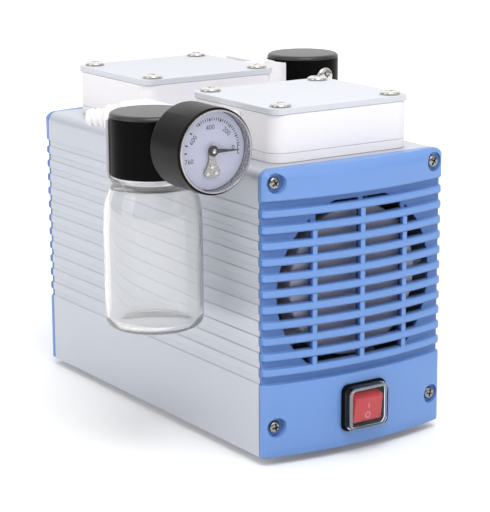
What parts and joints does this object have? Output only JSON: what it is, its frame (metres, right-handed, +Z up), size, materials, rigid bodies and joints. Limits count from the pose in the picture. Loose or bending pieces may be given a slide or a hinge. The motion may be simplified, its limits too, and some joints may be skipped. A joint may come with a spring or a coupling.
{
  "type": "laboratory diaphragm vacuum pump",
  "caption": "Oil-free laboratory diaphragm vacuum pump: ribbed casing, bowed grille panels, pump heads on top, glass liquid traps, vacuum gauge and rocker switch.",
  "frame": {"origin": "on the bench, midway between the feet: the bottom centre of the whole object's box", "axes": "+Y along the motor shaft towards the power inlet, +Z up, -Y towards the switch and the gauge's face"},
  "size_m": [0.2674, 0.293, 0.2183],
  "materials": {
    "aluminium": "satin extruded",
    "blue_plastic": "fine satin moulding",
    "white_ptfe": "machined fluoropolymer",
    "grey_plate": "pale grey coating",
    "steel": "bright screw steel",
    "black_plastic": "satin black",
    "glass": "clear",
    "clear_plastic": "clear moulded",
    "rubber": "matt",
    "red_plastic": "translucent gloss",
    "dial_paint": "matt pale paint",
    "fan_plastic": "matt",
    "motor_iron": "laminated"
  },
  "bodies": {
    "root": {"housing_shell": "aluminium", "base_plate": "aluminium", "front_panel": "blue_plastic", "rear_panel": "blue_plastic", "foot_front_left": "rubber", "foot_front_right": "rubber", "foot_rear_left": "rubber", "foot_rear_right": "rubber", "front_panel_screw_1": "steel", "front_panel_screw_2": "steel", "front_panel_screw_3": "steel", "front_panel_screw_4": "steel", "front_cover_screw_1": "steel", "front_cover_screw_2": "steel", "front_cover_screw_3": "steel", "front_cover_screw_4": "steel", "rear_cover_screw_1": "steel", "rear_cover_screw_2": "steel", "rear_cover_screw_3": "steel", "rear_cover_screw_4": "steel", "front_flange": "white_ptfe", "rear_flange": "white_ptfe", "front_head_block": "white_ptfe", "rear_head_block": "white_ptfe", "front_cover_plate": "grey_plate", "rear_cover_plate": "grey_plate", "front_diaphragm": "rubber", "rear_diaphragm": "rubber", "motor_stator": "motor_iron", "front_end_bracket": "aluminium", "rear_end_bracket": "aluminium", "front_shaft_bearing": "steel", "rear_shaft_bearing": "steel", "switch_body": "black_plastic", "switch_cover": "clear_plastic", "power_inlet": "black_plastic", "gauge_case": "black_plastic", "gauge_dial": "dial_paint", "gauge_lens": "clear_plastic", "left_trap_cap": "black_plastic", "right_trap_cap": "black_plastic", "left_port_arm": "white_ptfe", "right_port_arm": "white_ptfe", "inlet_barb": "white_ptfe", "outlet_barb": "white_ptfe", "right_trap_plug": "steel"},
    "shaft": {"motor_shaft": "steel", "motor_rotor": "motor_iron", "front_eccentric": "steel", "rear_eccentric": "steel", "front_fan": "fan_plastic", "rear_fan": "fan_plastic"},
    "front_rod": {"front_con_rod": "aluminium", "front_rod_bearing": "steel"},
    "rear_rod": {"rear_con_rod": "aluminium", "rear_rod_bearing": "steel"},
    "rocker": {"switch_rocker": "red_plastic"},
    "needle": {"gauge_needle": "black_plastic"},
    "left_jar": {"left_trap_jar": "glass"},
    "right_jar": {"right_trap_jar": "glass"}
  },
  "joints": [
    {"name": "shaft_spin", "type": "hinge", "parent": "root", "child": "shaft", "pos_m": [0, 0, 0.104], "axis": [0, 1, 0], "continuous": true},
    {"name": "front_rod_pivot", "type": "hinge", "parent": "shaft", "child": "front_rod", "pos_m": [0, -0.0735, 0.107], "axis": [0, 1, 0], "continuous": true},
    {"name": "rear_rod_pivot", "type": "hinge", "parent": "shaft", "child": "rear_rod", "pos_m": [0, 0.0685, 0.101], "axis": [0, 1, 0], "continuous": true},
    {"name": "rocker_tilt", "type": "hinge", "parent": "root", "child": "rocker", "pos_m": [0, -0.136, 0.029], "axis": [-1, 0, 0], "range_deg": [0, 16]},
    {"name": "needle_turn", "type": "hinge", "parent": "root", "child": "needle", "pos_m": [-0.1046, -0.1385, 0.1939], "axis": [0, -1, 0], "range_deg": [0, 190], "stiffness_Nm_per_rad": 0.0005},
    {"name": "left_jar_drop", "type": "slide", "parent": "root", "child": "left_jar", "axis": [0, 0, -1], "range_m": [0, 0.03]},
    {"name": "right_jar_drop", "type": "slide", "parent": "root", "child": "right_jar", "axis": [0, 0, -1], "range_m": [0, 0.03]}
  ],
  "couplings": [
    {"joint": "front_rod_pivot", "follows": "shaft_spin", "ratio": -1},
    {"joint": "rear_rod_pivot", "follows": "shaft_spin", "ratio": -1}
  ]
}
